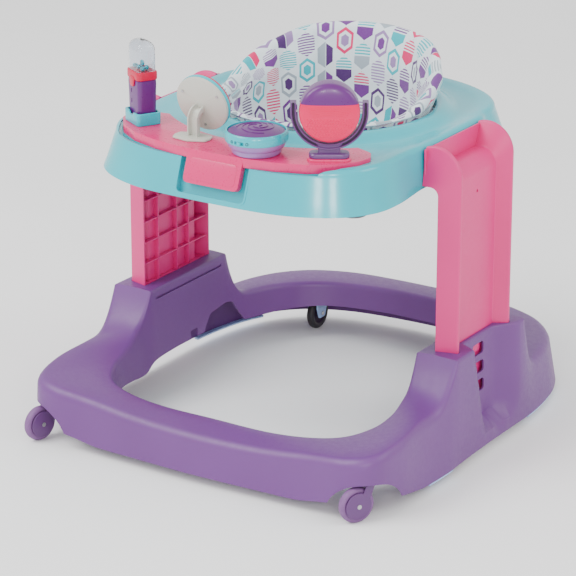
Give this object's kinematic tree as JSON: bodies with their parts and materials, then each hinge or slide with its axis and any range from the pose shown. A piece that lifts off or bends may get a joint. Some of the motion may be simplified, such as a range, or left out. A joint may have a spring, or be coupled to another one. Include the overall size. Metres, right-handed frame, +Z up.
{
  "type": "baby walker",
  "caption": "Rolling baby walker: purple ring base, height-adjusting pink legs, turquoise tray, fabric bucket seat and a toy panel.",
  "frame": {"origin": "on the floor at the centre of the walker's footprint", "axes": "+Z up, -Y towards the toys at the front, +Y towards the seat's back, +X to the right seen from the front"},
  "size_m": [0.648, 0.7518, 0.6322],
  "materials": {
    "base": "satin",
    "caster": "satin",
    "caster_wheel": "satin",
    "black_wheel": "matt",
    "grip": "satin",
    "steel": "brushed",
    "leg": "satin",
    "tray": "gloss",
    "grey": "matt",
    "fabric": "woven",
    "panel": "gloss",
    "teal": "gloss",
    "toy_purple": "gloss",
    "red": "gloss",
    "clear": "clear",
    "pale_grey": "satin",
    "mirror": "polished",
    "lavender": "gloss",
    "mauve": "gloss",
    "hot_pink": "gloss",
    "board": "satin",
    "black_part": "matt"
  },
  "bodies": {
    "base": {"base_shell": "base", "grip_strips": "grip", "caster_socket_left": "base", "caster_socket_right": "base", "rear_bracket_left": "grip", "rear_bracket_right": "grip", "rear_axle_left": "steel", "rear_axle_right": "steel"},
    "caster_left": {"caster_fork_left": "caster", "front_axle_left": "steel"},
    "caster_right": {"caster_fork_right": "caster", "front_axle_right": "steel"},
    "wheel_front_left": {"front_wheel_left": "caster_wheel"},
    "wheel_front_right": {"front_wheel_right": "caster_wheel"},
    "wheel_rear_left": {"rear_wheel_left": "black_wheel"},
    "wheel_rear_right": {"rear_wheel_right": "black_wheel"},
    "carriage": {"leg_left": "leg", "leg_right": "leg", "leg_screws": "steel", "tray": "tray", "seat_hoop": "grey", "seat_pad": "fabric", "seat_bottom": "grey"},
    "button_left": {"height_button_left": "leg"},
    "button_right": {"height_button_right": "leg"},
    "toy_bar": {"toy_panel": "panel", "toy_screws": "steel", "tube_socket": "teal", "tube_pivot_pin": "steel", "mirror_stalk": "pale_grey", "mirror_back": "pale_grey", "mirror_rim": "teal", "mirror_glass": "mirror", "mirror_screws": "steel", "drum_base": "lavender", "drum_ring": "teal", "drum_circuit_board": "board", "drum_batteries": "steel", "drum_speaker": "black_part", "spinner_yoke": "mauve", "spinner_axle": "steel"},
    "bead_tube": {"tube_body": "toy_purple", "tube_collar": "red", "tube_dome": "clear", "tube_beads": "teal"},
    "mirror_turner": {"mirror_ring": "red"},
    "drum_head": {"drum_top": "toy_purple"},
    "switch": {"drum_switch": "teal"},
    "spinner": {"spinner_ball": "hot_pink", "spinner_cap": "toy_purple"}
  },
  "joints": [
    {"name": "height_slide", "type": "slide", "parent": "base", "child": "carriage", "axis": [0, 0, 1], "range_m": [-0.06, 0]},
    {"name": "caster_left_swivel", "type": "hinge", "parent": "base", "child": "caster_left", "pos_m": [-0.289, -0.3295, 0.07], "axis": [0, 0, 1], "continuous": true},
    {"name": "caster_right_swivel", "type": "hinge", "parent": "base", "child": "caster_right", "pos_m": [0.289, -0.3295, 0.07], "axis": [0, 0, 1], "continuous": true},
    {"name": "front_left_spin", "type": "hinge", "parent": "caster_left", "child": "wheel_front_left", "pos_m": [-0.29366, -0.34689, 0.0275], "axis": [-0.9659, 0.2588, 0], "continuous": true},
    {"name": "front_right_spin", "type": "hinge", "parent": "caster_right", "child": "wheel_front_right", "pos_m": [0.28, -0.34509, 0.0275], "axis": [-0.866, 0.5, 0], "continuous": true},
    {"name": "rear_left_spin", "type": "hinge", "parent": "base", "child": "wheel_rear_left", "pos_m": [-0.19, 0.3, 0.0275], "axis": [1, 0, 0], "continuous": true},
    {"name": "rear_right_spin", "type": "hinge", "parent": "base", "child": "wheel_rear_right", "pos_m": [0.19, 0.3, 0.0275], "axis": [1, 0, 0], "continuous": true},
    {"name": "button_left_press", "type": "slide", "parent": "carriage", "child": "button_left", "axis": [1, 0, 0], "range_m": [0, 0.005], "stiffness_N_per_m": 400, "springref_m": -0.002},
    {"name": "button_right_press", "type": "slide", "parent": "carriage", "child": "button_right", "axis": [-1, 0, 0], "range_m": [0, 0.005], "stiffness_N_per_m": 400, "springref_m": -0.002},
    {"name": "toy_bar_lift", "type": "slide", "parent": "carriage", "child": "toy_bar", "axis": [0, 0, 1], "range_m": [0, 0.08]},
    {"name": "tube_tilt", "type": "hinge", "parent": "toy_bar", "child": "bead_tube", "pos_m": [-0.173, -0.226, 0.518], "axis": [0.5, 0.866, 0], "range_deg": [-8, 8]},
    {"name": "mirror_ring_spin", "type": "hinge", "parent": "toy_bar", "child": "mirror_turner", "pos_m": [-0.053, -0.238, 0.557], "axis": [0, 0.9598, 0.2807], "continuous": true},
    {"name": "drum_press", "type": "slide", "parent": "toy_bar", "child": "drum_head", "axis": [0, 0, -1], "range_m": [0, 0.003], "stiffness_N_per_m": 1500, "springref_m": -0.001},
    {"name": "drum_switch_slide", "type": "slide", "parent": "toy_bar", "child": "switch", "axis": [1, 0, 0], "range_m": [-0.004, 0.004]},
    {"name": "spinner_spin", "type": "hinge", "parent": "toy_bar", "child": "spinner", "pos_m": [0.163, -0.235, 0.577], "axis": [0.8425, 0.5388, 0], "continuous": true}
  ]
}
